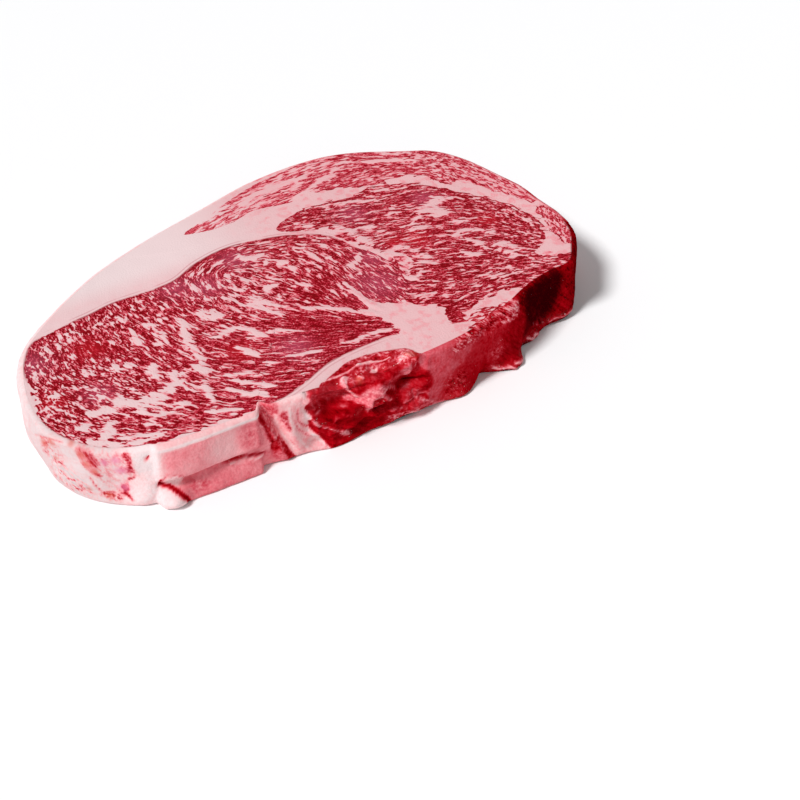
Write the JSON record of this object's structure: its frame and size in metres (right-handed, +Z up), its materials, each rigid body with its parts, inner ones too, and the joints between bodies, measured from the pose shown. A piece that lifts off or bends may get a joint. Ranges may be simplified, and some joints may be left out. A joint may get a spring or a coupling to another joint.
{
  "type": "raw beef steak",
  "caption": "One thick raw boneless rib steak with heavy marbling, a fat cap along one side and a flat lower cut face that it lies on.",
  "frame": {"origin": "the middle of the steak's outline on its flat lower cut face", "axes": "+X along the steak, from the narrow end of the eye muscle to the broad end under the rib cap; +Y towards the fat cap; +Z up, out of the upper cut face"},
  "size_m": [0.2172, 0.1326, 0.0245],
  "materials": {
    "marbled_beef": "raw red meat with pale pink marbling and fat, moist with a soft sheen"
  },
  "bodies": {
    "root": {"steak": "marbled_beef"}
  },
  "joints": []
}
